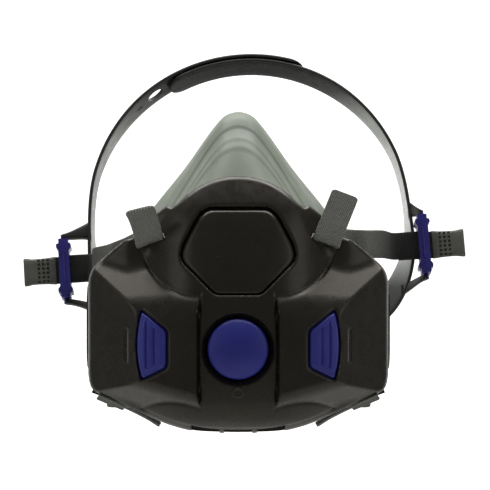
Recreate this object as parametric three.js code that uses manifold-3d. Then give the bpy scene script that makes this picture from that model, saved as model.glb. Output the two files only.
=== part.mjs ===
// A reusable half-mask respirator: silicone face seal, hard front shell with two raised wings, speaking
// diaphragm, seal-check button, two quick-release cartridge ports and a four-strap head harness.
// Millimetres. The front faces -Y, the wearer is on the +Y side, +Z is up and +X is the right in a front
// view. The origin is the centre of the face opening, in the plane of the face seal.
import * as THREE from 'three';
import { mergeVertices } from 'three/addons/utils/BufferGeometryUtils.js';
import Module from 'manifold-3d';

const wasm = await Module();
wasm.setup();

// ---------------------------------------------------------------- driving dimensions
const GAP = 0.35; // clearance between touching pieces
const SKIN_PLANE = -52; // y that the front relief is measured from; relief is positive towards the front
const WALL = 2.4; // front shell wall
const RIM = -47.2; // back edge of the shell round the face seal
const SHELL_BACK = -33.8; // back edge of the shell's sides
const HOUSING = { front: -33.4, back: -11, wall: 2.2 };
const SIDE_X = 65.2; // half width of the shell
const STRAP_WIDTH = 12.7; // half-inch elastic webbing
const STRAP_THICK = 1.5;

const BUTTON = { z: -36, radius: 12.8, travel: 3.2, front: -78.2, back: -66 };
const BEZEL = { inner: 13.3, outer: 15.6, front: -74.6, back: -68.5 };
const CORE = { front: -49, back: -46, inset: 3.4 };
const DIAPHRAGM = { z: 4, bore: 12.5, radius: 15.5, film: -56.9 };
const INHALE = { x: 22, z: -34, bore: 6.2, seat: 8, flap: 8.2 };
const EXHALE = { z: -54, bore: 5.2, seat: 6.2, flap: 6.6 };
const RELEASE = { travel: 2.5, clearance: 0.9, depth: 6.5 };
const LATCH = { x: 56, y: -42, pin: 1.3, low: -36, high: -26 };
const PORT = { y: -22, z: -28, width: 15, height: 30, corner: 6, wall: 2.2, face: 64.6 };
const BAND_WIDTH = 15;
const BAND_THICK = 1.6;
const RING = { radius: 73, centre: 21.5, napeRadius: 61, napeDepth: 44 };
const CROWN_END = { left: 23, right: 28 }; // degrees that each band runs past the crown
const BUCKLE = { left: -87.6, right: 78, y: -12.6, width: 5, depth: 9.4, height: 27.4 };
const CRADLE = { x: 7.5, y: 35, z: 0, roll: -4, lean: -12 }; // where the cradle sits and how it is turned
const CROWN_SLOPE = 8; // degrees that the bands tip further at the crown than at the sides

const COLOURS = {
  shell: [0x1c1a17, 0.42],
  silicone: [0x7d8779, 0.55],
  blue: [0x1c1a63, 0.5],
  frame: [0x2a2b2a, 0.6],
  webbing: [0x55564f, 0.9],
  band: [0x6d716c, 0.45],
  film: [0xb9bdb4, 0.3],
  steel: [0x9a9c9e, 0.3, 1],
  rubber: [0x20201f, 0.8],
};

const model = new THREE.Group();

// ---------------------------------------------------------------- solids
// A three.js geometry as a manifold solid, turned the right way out.
function solid(geometry) {
  const bare = geometry.index ? geometry.toNonIndexed() : geometry.clone();
  const plain = new THREE.BufferGeometry().setAttribute('position', bare.getAttribute('position'));
  const merged = mergeVertices(plain, 1e-4);
  const make = (triVerts) => new wasm.Manifold(
    new wasm.Mesh({ numProp: 3, vertProperties: merged.attributes.position.array, triVerts }),
  );
  const triangles = new Uint32Array(merged.index.array);
  const made = make(triangles);
  return made.volume() < 0 ? make(triangles.reverse()) : made;
}

function geometryOf(made) {
  const mesh = made.getMesh();
  const geometry = new THREE.BufferGeometry();
  geometry.setAttribute('position', new THREE.BufferAttribute(mesh.vertProperties, mesh.numProp));
  geometry.setIndex(new THREE.BufferAttribute(mesh.triVerts, 1));
  return geometry;
}

function add(name, shape, colour, parent = model) {
  const [hex, roughness, metalness = 0] = COLOURS[colour];
  const geometry = shape.isBufferGeometry ? geometryOf(solid(shape)) : geometryOf(shape);
  const material = new THREE.MeshStandardMaterial({ color: hex, roughness, metalness });
  const mesh = new THREE.Mesh(geometry, material);
  mesh.name = name;
  parent.add(mesh);
  return mesh;
}

// A closed skin from rows of points, each row as long as the next. With closeRows the last row joins the
// first; without it the two end rows are capped from their centres.
function skin(rows, closeRows = false) {
  const points = rows.flat();
  const count = rows[0].length;
  const faces = [];
  const rowPairs = closeRows ? rows.length : rows.length - 1;
  for (let r = 0; r < rowPairs; r++) {
    const here = r * count;
    const next = ((r + 1) % rows.length) * count;
    for (let i = 0; i < count; i++) {
      const j = (i + 1) % count;
      faces.push(here + i, here + j, next + j, here + i, next + j, next + i);
    }
  }
  if (!closeRows) {
    for (const [row, forward] of [[0, false], [rows.length - 1, true]]) {
      const centre = rows[row].reduce((sum, p) => sum.add(p), new THREE.Vector3()).divideScalar(count);
      const c = points.push(centre) - 1;
      for (let i = 0; i < count; i++) {
        const a = row * count + i;
        const b = row * count + ((i + 1) % count);
        faces.push(...(forward ? [a, b, c] : [b, a, c]));
      }
    }
  }
  const geometry = new THREE.BufferGeometry().setFromPoints(points);
  geometry.setIndex(faces);
  return geometry;
}

// An outline in (x, z), pushed through from y0 to y1.
function prism(outline, y0, y1) {
  const shape = new THREE.Shape(outline.map(([x, z]) => new THREE.Vector2(x, z)));
  return new THREE.ExtrudeGeometry(shape, { depth: y1 - y0, bevelEnabled: false })
    .rotateX(Math.PI / 2).translate(0, y1, 0);
}

// The same for an outline in (y, z), pushed through from x0 to x1.
function prismX(outline, x0, x1) {
  const shape = new THREE.Shape(outline.map(([y, z]) => new THREE.Vector2(y, z)));
  return new THREE.ExtrudeGeometry(shape, { depth: x1 - x0, bevelEnabled: false })
    .rotateY(Math.PI / 2).rotateX(Math.PI / 2).translate(x0, 0, 0);
}

// A turned piece about the Y axis through (x, z). The profile is [radius, y] pairs that close on
// themselves.
function turned(profile, x, z, segments = 24) {
  const points = profile.map(([r, y]) => new THREE.Vector2(r, y));
  if (profile[0][0] > 0) points.push(points[0].clone());
  return new THREE.LatheGeometry(points, segments).translate(x, 0, z);
}

const disc = (radius, y0, y1, x, z, segments = 24) =>
  turned([[0, y0], [radius, y0], [radius, y1], [0, y1]], x, z, segments);

const ring = (inner, outer, y0, y1, x, z, segments = 24) =>
  turned([[inner, y0], [outer, y0], [outer, y1], [inner, y1]], x, z, segments);

function box(x0, x1, y0, y1, z0, z1) {
  return new THREE.BoxGeometry(x1 - x0, y1 - y0, z1 - z0)
    .translate((x0 + x1) / 2, (y0 + y1) / 2, (z0 + z1) / 2);
}

function join(...shapes) {
  return shapes.map((s) => (s.isBufferGeometry ? solid(s) : s)).reduce((a, b) => a.add(b));
}

function cut(from, ...shapes) {
  const start = from.isBufferGeometry ? solid(from) : from;
  return shapes.reduce((a, b) => a.subtract(b.isBufferGeometry ? solid(b) : b), start);
}

// A flat strip along a path. Each stop is { at: [x, y, z], wide: [x, y, z] }, where wide is the direction
// of the strip's width; the path is smoothed through the stops.
function ribbon(stops, width, thickness, steps) {
  const points = stops.map((s) => new THREE.Vector3(...s.at));
  const path = new THREE.CatmullRomCurve3(points, false, 'centripetal');
  const wides = stops.map((s) => new THREE.Vector3(...s.wide).normalize());
  const rows = [];
  for (let i = 0; i <= steps; i++) {
    const t = i / steps;
    const stop = Math.min(Math.floor(t * (stops.length - 1)), stops.length - 2);
    const share = t * (stops.length - 1) - stop;
    const tangent = path.getTangent(t);
    const wide = wides[stop].clone().lerp(wides[stop + 1], share);
    wide.addScaledVector(tangent, -wide.dot(tangent)).normalize();
    const thick = wide.clone().cross(tangent).normalize();
    const centre = path.getPoint(t);
    rows.push([[-1, -1], [1, -1], [1, 1], [-1, 1]].map(([a, b]) => centre.clone()
      .addScaledVector(wide, (a * width) / 2).addScaledVector(thick, (b * thickness) / 2)));
  }
  return skin(rows);
}

// A coil spring along Y between two heights.
function coil(radius, wire, y0, y1, x, z, turns) {
  const points = [];
  const perTurn = 9;
  for (let i = 0; i <= turns * perTurn; i++) {
    const angle = (i / perTurn) * 2 * Math.PI;
    const y = y0 + wire + ((y1 - y0 - 2 * wire) * i) / (turns * perTurn);
    points.push(new THREE.Vector3(x + radius * Math.cos(angle), y, z + radius * Math.sin(angle)));
  }
  const section = new THREE.Shape();
  section.absarc(0, 0, wire, 0, 2 * Math.PI);
  return new THREE.ExtrudeGeometry(section, {
    steps: turns * perTurn, curveSegments: 3, extrudePath: new THREE.CatmullRomCurve3(points),
  });
}

// ---------------------------------------------------------------- outlines and the front relief
const mirrored = (half) => [...half, ...half.slice(1, -1).reverse().map(([x, z]) => [-x, z])];

// The same outline moved inwards by a distance.
function inset(outline, distance) {
  const area = outline.reduce((sum, [x, z], i) => {
    const [nx, nz] = outline[(i + 1) % outline.length];
    return sum + x * nz - nx * z;
  }, 0);
  const side = Math.sign(area);
  return outline.map(([x, z], i) => {
    const [px, pz] = outline[(i + outline.length - 1) % outline.length];
    const [nx, nz] = outline[(i + 1) % outline.length];
    const a = new THREE.Vector2(x - px, z - pz).normalize();
    const b = new THREE.Vector2(nx - x, nz - z).normalize();
    const normal = new THREE.Vector2(-(a.y + b.y), a.x + b.x).normalize();
    const lean = Math.max(0.5, normal.dot(new THREE.Vector2(-a.y, a.x)));
    return [x + (side * distance * normal.x) / lean, z + (side * distance * normal.y) / lean];
  });
}

// A smooth closed outline through a half outline and its mirror image.
function smoothOutline(half, count) {
  const curve = new THREE.CatmullRomCurve3(
    mirrored(half).map(([x, z]) => new THREE.Vector3(x, 0, z)), true, 'centripetal');
  return curve.getSpacedPoints(count).slice(0, count).map((p) => [p.x, p.z]);
}

const SHELL_OUTLINE = mirrored([
  [0, 37.6], [7, 37], [14, 34.8], [20.7, 30.9], [25.5, 26.2], [28.6, 24], [30.4, 25.2], [35.8, 21],
  [41.8, 14.2], [45.6, 10.8], [48.5, 10.4], [55, 5.4], [62.8, -1.4], [SIDE_X, -6.5], [SIDE_X, -50],
  [63.6, -55],
  [50, -61.2], [31, -69], [19, -72], [0, -72.6],
]);

// Relief of the shell's centre line, from the chin up to the top of the arch: [z, relief].
const SPINE = [[-78, 0], [-72.6, 8], [-66, 16.5], [-58, 21], [-36, 23], [-13, 20.5], [5, 16], [23, 9.5],
  [37.6, 0], [44, -5]];
const CENTRE_DROOP = 0.00137; // how fast the centre falls away from the centre line
const CENTRE_POWER = 2.6;

function spine(z) {
  const k = Math.max(1, Math.min(SPINE.length - 2, SPINE.findIndex(([s]) => s > z)));
  const [[z0, h0], [z1, h1]] = [SPINE[k - 1], SPINE[k]];
  const slope = (i) => {
    const [a, b] = [SPINE[Math.max(i - 1, 0)], SPINE[Math.min(i + 1, SPINE.length - 1)]];
    return (b[1] - a[1]) / (b[0] - a[0]);
  };
  const t = (z - z0) / (z1 - z0);
  const span = z1 - z0;
  return h0 * (1 + 2 * t) * (1 - t) ** 2 + slope(k - 1) * span * t * (1 - t) ** 2
    + h1 * t * t * (3 - 2 * t) - slope(k) * span * t * t * (1 - t);
}

function smoothMin(a, b, width) {
  const h = Math.max(width - Math.abs(a - b), 0) / width;
  return Math.min(a, b) - (h * h * width) / 4;
}

// Each wing is the lowest of five planes: front, top, bottom, outer and the bevel to the centre.
function wingRelief(x, z) {
  const front = 22.3 - 0.31 * (x - 18);
  const top = 13.42 - 0.38 * x - 0.8556 * z;
  const bottom = 123.2 - 0.7264 * x + 1.5314 * z;
  const outer = 15 - 1.1 * (x - 42);
  const inner = 22.3 + 2.2 * (x - 17.4);
  const face = smoothMin(smoothMin(front, top, 6), bottom, 5);
  return smoothMin(smoothMin(face, outer, 1), inner, 1.2);
}

function relief(x, z) {
  const side = Math.abs(x);
  const centre = spine(z) - CENTRE_DROOP * side ** CENTRE_POWER;
  const valley = -2.4 - 0.7 * Math.max(side - 47, 0);
  return Math.max(-smoothMin(-centre, -wingRelief(side, z), 0.8), valley);
}

// The solid behind the relief, lowered by a depth, down to a flat back.
function reliefBlock(lowered, back, step = 5) {
  const half = 70;
  const low = -78;
  const high = 42;
  const columns = Math.round((2 * half) / step);
  const rowsUp = Math.round((high - low) / step);
  const rows = [];
  for (let c = 0; c <= columns; c++) {
    const x = -half + c * step;
    const row = [];
    for (let r = 0; r <= rowsUp; r++) {
      const z = low + r * step;
      row.push(new THREE.Vector3(x, SKIN_PLANE - relief(x, z) + lowered, z));
    }
    row.push(new THREE.Vector3(x, back, high), new THREE.Vector3(x, back, low));
    rows.push(row);
  }
  return solid(skin(rows));
}

// ---------------------------------------------------------------- front shell and its covers
const HEX = mirrored([[0, 23], [12.3, 23], [15.5, 20.6], [23.6, 6.5], [24, 1.5], [9.5, -12.8], [0, -12.8]]);
const HEX_GAP = 1.3;

// The release button's outline on the right wing, with its curved outer side.
const RELEASE_OUTLINE = [[30.6, -28.4], [30.6, -43.6], [40.6, -48.6], [42.2, -42], [42.7, -34.5],
  [42.2, -27], [40.8, -20.6]];

const mirrorX = (outline) => outline.map(([x, z]) => [-x, z]);
const sided = (outline, side) => (side > 0 ? outline : mirrorX(outline));

// The upper strap folds forward through this slot and over the bar above it.
const SLOT = { x: 37.8, z: 9.6, angle: -22, length: 14.2, height: 2.8 };

function strapSlot(side) {
  const half = SLOT.length / 2;
  const pocket = box(-half, half, -64, -50.2, -2.6, 7);
  return join(box(-half, half, -64, -40, -SLOT.height / 2, SLOT.height / 2), pocket)
    .rotate([0, -SLOT.angle, 0]).translate([SLOT.x, 0, SLOT.z]).scale([side, 1, 1]);
}

function buildShell() {
  const outside = reliefBlock(0, -20);
  const inside = reliefBlock(WALL + 0.6, -10, 7);
  const rimBack = cut(box(-80, 80, RIM, 0, -90, 60), box(-80, -46.5, -50, SHELL_BACK, -90, 60),
    box(46.5, 80, -50, SHELL_BACK, -90, 60));
  let shell = outside.intersect(solid(prism(SHELL_OUTLINE, -90, -15)));
  shell = cut(shell, inside.intersect(solid(prism(inset(SHELL_OUTLINE, WALL), -95, -5))), rimBack);
  const holes = [disc(BEZEL.outer + GAP, -95, -50, 0, BUTTON.z, 32), prism(inset(HEX, -HEX_GAP), -95, -50)];
  for (const side of [-1, 1]) {
    holes.push(prism(sided(inset(RELEASE_OUTLINE, -RELEASE.clearance), side), -95, -50));
    const window = side > 0 ? [60, 70] : [-70, -60];
    holes.push(box(...window, -38.6, -30, LATCH.low - 1, LATCH.high + 1));
    holes.push(strapSlot(side));
  }
  const vents = [-20, -6, 8].map((x) => box(x, x + 12, -62, -52, -76, -67));
  return cut(shell, ...holes, ...vents);
}

add('front_shell', buildShell(), 'shell');

const hexPanel = reliefBlock(0.3, -20).subtract(reliefBlock(0.3 + WALL, -10))
  .intersect(solid(prism(HEX, -90, -50)));
const coverPosts = [[-9, 14], [9, 14], [0, -4]].map(([x, z]) => disc(1.6, -69 + 0.16 * z, -63.6, x, z, 10));
add('diaphragm_cover', join(hexPanel, ...coverPosts), 'shell');

add('button_bezel', turned([[BEZEL.inner, BEZEL.front + 2.2], [BEZEL.inner, BEZEL.back],
  [BEZEL.outer, BEZEL.back], [BEZEL.outer, BEZEL.front], [BEZEL.outer - 0.8, BEZEL.front]],
0, BUTTON.z, 32), 'shell');

// ---------------------------------------------------------------- face seal
// Outlines of the silicone from the front ring to the flared rim, each with its y. The nose end of the
// rim lies a little further forward than the cheeks.
const SEAL_SECTIONS = [
  { y: -46.8, half: [[0, 35], [13, 31.5], [24, 21], [33, 6], [40.5, -14], [40.5, -40], [30, -56],
    [14, -63.5], [0, -64]] },
  { y: -30, half: [[0, 56], [10, 50.5], [21, 34], [33, 13], [43, -12], [43, -40], [32, -58], [15, -66],
    [0, -67]] },
  { y: -11, half: [[0, 67], [10, 61], [23, 41.5], [37, 20], [45, -9], [45, -38], [35, -59], [16, -67],
    [0, -68.5]] },
  { y: 3, half: [[0, 68], [11, 60.8], [24, 42.5], [41, 21.5], [56, -2], [57, -34], [40, -58], [18, -67.5],
    [0, -69]] },
  { y: 9, half: [[0, 65], [10.5, 58.5], [23, 40.5], [40, 19], [55, -4], [56, -33], [39, -56], [17, -65.5],
    [0, -67]] },
];
const SEAL_LIP = { y: 6, half: [[0, 50], [9, 44], [19, 28], [31, 10], [41, -12], [41, -34], [29, -48],
  [13, -55], [0, -56.5]] };
const SEAL_WALL = 2.2;
const SEAL_STEPS = 44;

// Moves the nose end of a section forward.
const noseShift = (z) => -6 * THREE.MathUtils.smoothstep(z, 20, 66);

function buildSeal() {
  const outer = SEAL_SECTIONS.map(({ y, half }) => ({ y, points: smoothOutline(half, SEAL_STEPS) }));
  const lip = { y: SEAL_LIP.y, points: smoothOutline(SEAL_LIP.half, SEAL_STEPS) };
  const inner = outer.slice(0, 4).reverse().map(({ y, points }) => ({
    y: y === 3 ? y - 1.5 : y, points: inset(points, SEAL_WALL),
  }));
  const lipBack = { y: SEAL_LIP.y - SEAL_WALL + 0.6, points: lip.points };
  const loops = [...outer, lip, lipBack, ...inner];
  const rows = lip.points.map((_, i) => loops.map(({ y, points }) => {
    const [x, z] = points[i];
    return new THREE.Vector3(x, y > -12 ? y + noseShift(z) : y, z);
  }));
  return skin(rows, true);
}

add('face_seal', buildSeal(), 'silicone');

// ---------------------------------------------------------------- core frame, diaphragm and valves
const coreOutline = inset(smoothOutline(SEAL_SECTIONS[0].half, 36), CORE.inset);
const corePlate = prism(coreOutline, CORE.front, CORE.back);
add('core_frame', cut(corePlate,
  disc(DIAPHRAGM.bore, -60, -40, 0, DIAPHRAGM.z),
  disc(3.7, -60, -40, 0, BUTTON.z, 12),
  disc(EXHALE.bore, -60, -40, 0, EXHALE.z, 16),
  disc(INHALE.bore, -60, -40, -INHALE.x, INHALE.z, 16),
  disc(INHALE.bore, -60, -40, INHALE.x, INHALE.z, 16)), 'frame');

const filmBack = DIAPHRAGM.film + 0.55;
const diaphragmRing = (y0, y1) => ring(DIAPHRAGM.bore, DIAPHRAGM.radius, y0, y1, 0, DIAPHRAGM.z, 28);
add('diaphragm_housing', diaphragmRing(filmBack + GAP, CORE.front - GAP), 'frame');
add('diaphragm_film', disc(DIAPHRAGM.radius - 0.8, DIAPHRAGM.film, filmBack, 0, DIAPHRAGM.z, 28), 'film');
add('diaphragm_ring', diaphragmRing(DIAPHRAGM.film - 2.3, DIAPHRAGM.film - GAP), 'frame');

add('exhalation_seat', ring(EXHALE.bore, EXHALE.seat, -50.6, CORE.front - GAP, 0, EXHALE.z, 20), 'frame');
add('exhalation_flap', join(disc(EXHALE.flap, -51.8, -50.95, 0, EXHALE.z, 20),
  box(-3, 3, -51.8, -50.95, EXHALE.z + 5, EXHALE.z + 8.4)), 'rubber');
add('exhalation_hood', cut(box(-11, 11, -60.2, CORE.front - GAP, -68.6, -43.8),
  box(-9.8, 9.8, -59, -40, -75, -45)), 'frame');

// ---------------------------------------------------------------- seal-check button and shutter
add('seal_check_button', turned([[0, BUTTON.front], [5, BUTTON.front + 0.5], [9, BUTTON.front + 1.7],
  [11.6, BUTTON.front + 3.2], [BUTTON.radius, BUTTON.front + 5], [BUTTON.radius, BUTTON.back],
  [0, BUTTON.back]], 0, BUTTON.z, 32), 'blue');

const pad = (x) => disc(8.4, -57.5, -55.6, x, INHALE.z, 20);
add('check_shutter', join(disc(3.1, BUTTON.back + GAP, -46.5, 0, BUTTON.z, 12),
  box(-INHALE.x, INHALE.x, -58.4, -56.2, BUTTON.z - 2.6, BUTTON.z + 3.4),
  pad(-INHALE.x), pad(INHALE.x)), 'frame');
add('seal_check_spring', coil(5, 0.45, -55.85, CORE.front - GAP, 0, BUTTON.z, 3), 'steel');

// ---------------------------------------------------------------- everything that there is one of per side
function roundedRectangle(width, height, corner, y, z, steps = 3) {
  const points = [];
  for (const [sy, sz, start] of [[1, 1, 0], [-1, 1, 1], [-1, -1, 2], [1, -1, 3]]) {
    for (let i = 0; i <= steps; i++) {
      const angle = ((start + i / steps) * Math.PI) / 2;
      points.push([y + sy * (width / 2 - corner) + corner * Math.cos(angle),
        z + sz * (height / 2 - corner) + corner * Math.sin(angle)]);
    }
  }
  return points;
}

const HOUSING_OUTLINE = [[48.8, 7.5], [55, 3.6], [62, -2.2], [64.6, -6.8], [64.6, -47.8], [63, -50.8],
  [48.8, -56.1]];

// The loop under each housing that the lower strap passes through, drawn on the housing's sloping bottom.
function strapLoop() {
  const frame = cut(box(-1.1, 16, -22, -18.6, -6.6, 1), box(0.2, 14.7, -30, -10, -5, 0.2));
  return frame.rotate([0, -20.4, 0]).translate([47.6, 0, -56.8]);
}

function buildSide(side) {
  const name = (what) => `${side < 0 ? 'left' : 'right'}_${what}`;
  const half = new THREE.Group();
  half.scale.x = side;
  model.add(half);
  const opening = roundedRectangle(PORT.width + 2 * PORT.wall, PORT.height + 2 * PORT.wall,
    PORT.corner + PORT.wall, PORT.y, PORT.z);
  const inner = inset(HOUSING_OUTLINE, HOUSING.wall);
  const hollow = prism(inner, HOUSING.front - 5, HOUSING.back - HOUSING.wall);
  add(name('housing'), join(cut(prism(HOUSING_OUTLINE, HOUSING.front, HOUSING.back), hollow,
    prismX(opening, 58, 70)), strapLoop()), 'shell', half);

  const tube = inset(opening, GAP);
  const bore = roundedRectangle(PORT.width, PORT.height, PORT.corner, PORT.y, PORT.z);
  add(name('port'), cut(prismX(tube, 58.5, PORT.face), prismX(bore, 50, 70)), 'frame', half);
  add(name('port_gasket'), cut(prismX(inset(opening, -1.7), PORT.face + GAP, PORT.face + 1.8),
    prismX(bore, 50, 75)), 'rubber', half);

  add(name('inhalation_seat'),
    ring(INHALE.bore, INHALE.seat, -51.9, CORE.front - GAP, INHALE.x, INHALE.z, 20),
    'frame', half);
  add(name('inhalation_flap'), join(disc(INHALE.flap, -45.65, -44.8, INHALE.x, INHALE.z, 20),
    box(INHALE.x - 3, INHALE.x + 3, -45.65, -44.8, INHALE.z + 5, INHALE.z + 10)), 'rubber', half);

  const buttonBlock = reliefBlock(-0.2, -20).subtract(reliefBlock(-0.2 + RELEASE.depth, -10));
  add(name('release_button'), buttonBlock.intersect(solid(prism(RELEASE_OUTLINE, -90, -50))), 'blue', half);
  add(name('release_spring'), coil(2.2, 0.35, -62.1, CORE.front - GAP, 34, -41.5, 4), 'steel', half);

  // The latch lever lies along the inside of the wing's outer face: its inner arm is pushed back by the
  // button and its outer arm ends in the hook that holds a cartridge.
  const lever = [[37.8, -59.4], [38.8, -60.5], [50, -51], [55.4, -45.6], [59.6, -40.6], [62.6, -36.9],
    [65.3, -36.5], [65.3, -34.4], [61.6, -34.4], [58.6, -37], [53.4, -38.6], [51, -42], [47.4, -47.6],
    [37.8, -57.4]];
  const plan = new THREE.Shape(lever.map(([x, y]) => new THREE.Vector2(x, y)));
  const leverBody = new THREE.ExtrudeGeometry(plan, { depth: LATCH.high - LATCH.low, bevelEnabled: false })
    .translate(0, 0, LATCH.low);
  const pinHole = new THREE.CylinderGeometry(LATCH.pin + GAP, LATCH.pin + GAP, 40, 14)
    .rotateX(Math.PI / 2).translate(LATCH.x, LATCH.y, -31);
  add(name('latch'), cut(leverBody, pinHole), 'frame', half);
  add(name('latch_pin'), new THREE.CylinderGeometry(LATCH.pin, LATCH.pin, 22, 12)
    .rotateX(Math.PI / 2).translate(LATCH.x, LATCH.y, -31), 'steel', half);
}

for (const side of [-1, 1]) buildSide(side);

// ---------------------------------------------------------------- head cradle
// The cradle is two bands that overlap at the crown and at the nape. It is built about its own centre and
// then turned, because it sits a little askew.
const cradle = new THREE.Group();
cradle.position.set(CRADLE.x, CRADLE.y, CRADLE.z);
cradle.rotation.set(THREE.MathUtils.degToRad(CRADLE.lean), THREE.MathUtils.degToRad(CRADLE.roll), 0);
cradle.updateMatrixWorld(true);
model.add(cradle);

// A stop of the ring at an angle from the crown (0), past the side (90), to the nape (180). The bands
// keep one slope through each overlap, so that they can slide along each other about the ring's axis.
function ringStop(angle, side, lift) {
  const a = THREE.MathUtils.degToRad(angle);
  const low = THREE.MathUtils.smoothstep(angle, 96, 158);
  const high = 1 - THREE.MathUtils.smoothstep(Math.abs(angle), 30, 75);
  const beside = THREE.MathUtils.smoothstep(angle, 70, 100);
  const drop = 10 * beside * (1 - THREE.MathUtils.smoothstep(angle, 110, 158));
  const radius = RING.radius - (RING.radius - RING.napeRadius) * low + lift * (1 + 0.35 * low);
  const slope = THREE.MathUtils.degToRad(4 + CROWN_SLOPE * high + 46 * low);
  const x = Math.sin(a) * side;
  const z = Math.cos(a);
  return {
    at: [radius * x, RING.napeDepth * low, RING.centre - drop + radius * z],
    wide: [-Math.sin(slope) * x, Math.cos(slope), -Math.sin(slope) * z],
  };
}

// One of the two arms that carry the ends of a buckle's pivot: it tapers from the band out to the pivot.
function pivotArm(side, lift, end) {
  const x = side < 0 ? BUCKLE.left : BUCKLE.right;
  const tip = BUCKLE.height / 2 + 0.4;
  const root = end > 0
    ? { angle: 85, low: 14.1, high: 24, y0: -7, y1: -1 }
    : { angle: 110, low: 14.1, high: 20, y0: 2, y1: 8 };
  const bandX = ringStop(root.angle, side, lift).at[0];
  const corners = [];
  for (const [x0, x1, y0, y1, z0, z1] of [
    [bandX - 0.7, bandX + 0.7, root.y0, root.y1, root.low, root.high],
    [x - BUCKLE.width / 2, x + BUCKLE.width / 2, BUCKLE.y - 2.4, BUCKLE.y + 2.4, tip, tip + 2.4],
  ]) {
    for (const cx of [x0, x1]) {
      for (const cy of [y0, y1]) corners.push([cx, cy, end * z0], [cx, cy, end * z1]);
    }
  }
  return wasm.Manifold.hull(corners);
}

function cradleBand(side, lift) {
  const first = -(side < 0 ? CROWN_END.left : CROWN_END.right);
  const last = 180 + 14;
  const count = 40;
  const stops = [];
  for (let i = 0; i <= count; i++) stops.push(ringStop(first + ((last - first) * i) / count, side, lift));
  const band = solid(ribbon(stops, BAND_WIDTH, BAND_THICK, count));
  const x = side < 0 ? BUCKLE.left : BUCKLE.right;
  const hole = new THREE.CylinderGeometry(1.65, 1.65, 60, 12)
    .rotateX(Math.PI / 2).translate(x, BUCKLE.y, 0);
  return cut(join(band, pivotArm(side, lift, 1), pivotArm(side, lift, -1)), hole);
}

// Places a shape, whose Y axis points out of the band, on a crown band at an angle from the top.
function onCrown(shape, angle, lift) {
  const tilt = Math.PI / 2 - THREE.MathUtils.degToRad(4 + CROWN_SLOPE);
  return shape.rotateX(tilt).translate(0, 0, RING.radius + lift)
    .rotateY(THREE.MathUtils.degToRad(angle)).translate(0, 0, RING.centre);
}

const CROWN_LIFT = (BAND_THICK + GAP) * 1.18; // the left band runs outside the right one
const PEG_ANGLE = -12;
const peg = onCrown(new THREE.CylinderGeometry(1.8, 1.8, 5, 12).translate(0, 2, 0), PEG_ANGLE, 0);
const pegSlot = onCrown(new THREE.BoxGeometry(15.5, 8, 4.4).translate(0, 2.4, 0), PEG_ANGLE, 0);
const sizeHole = onCrown(new THREE.CylinderGeometry(1, 1, 8, 14).scale(3.6, 1, 2.3), -33.5, CROWN_LIFT);
add('cradle_band_right', join(cradleBand(1, 0), peg), 'band', cradle);
add('cradle_band_left', cut(cradleBand(-1, CROWN_LIFT), pegSlot, sizeHole), 'band', cradle);

// ---------------------------------------------------------------- buckles and pull tabs
const STRAP_LAYER = 1.2; // the two strap layers in a buckle lie this far each side of its middle

function buildBuckle(side) {
  const name = (what) => `${side < 0 ? 'left' : 'right'}_${what}`;
  const x = side < 0 ? BUCKLE.left : BUCKLE.right;
  const { y, width, depth, height } = BUCKLE;
  const body = box(x - width / 2, x + width / 2, y - depth / 2, y + depth / 2, -height / 2, height / 2);
  const slot = box(x - 10, x + 10, y - 2.3, y + 2.3, -6.9, 6.9);
  const trunnions = new THREE.CylinderGeometry(1.3, 1.3, height + 5, 12)
    .rotateX(Math.PI / 2).translate(x, y, 0);
  const waist = [-1, 1].map((end) => box(x + side * (width / 2 - 1.2), x + side * 9, y - 9, y + 9,
    end * 12.4 - 1.2, end * 12.4 + 1.2));
  add(name('buckle'), cut(join(body, trunnions), slot, ...waist), 'blue', cradle);

  const near = x - side * 12;
  const grip = x + side * 4.2;
  const far = x + side * 19;
  const span = (a, b) => [Math.min(a, b), Math.max(a, b)];
  const back = y + STRAP_LAYER;
  const strap = box(...span(near, grip + side * 0.5), back - STRAP_THICK / 2,
    back + STRAP_THICK / 2, -STRAP_WIDTH / 2, STRAP_WIDTH / 2);
  const tab = box(...span(grip, far), back - 1.5, back + 1.5, -6.9, 6.9);
  const dimples = [];
  for (let c = 0; c < 3; c++) {
    for (let r = 0; r < 6; r++) {
      const u = grip + side * (5.2 + 2.1 * c);
      const v = -5 + 2 * r;
      dimples.push(box(u - 0.55, u + 0.55, back - 9, back - 0.7, v - 0.55, v + 0.55));
    }
  }
  add(name('pull_tab'), cut(join(strap, tab), ...dimples), 'webbing', cradle);
}

for (const side of [-1, 1]) buildBuckle(side);

// ---------------------------------------------------------------- upper straps
const toWorld = (x, y, z) => cradle.localToWorld(new THREE.Vector3(x, y, z));
const slotTurn = THREE.MathUtils.degToRad(SLOT.angle);
const alongSlot = [Math.cos(slotTurn), 0, Math.sin(slotTurn)];
const UP = [0, 0, 1];

// The free ends stand up in front of their bars: the right one leans outwards, the left one curls forward.
const TAB_STOPS = {
  left: [[-37.8, -47.6, 9.2], [-38, -52.4, 9.6], [-39.4, -55.4, 15.5], [-41, -59, 20.5], [-42, -63.5, 23]],
  right: [[37.8, -47.6, 9.2], [38, -52.4, 9.6], [40.6, -55.4, 16.4], [43.4, -56.4, 23.4], [46, -57, 30]],
};

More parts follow.
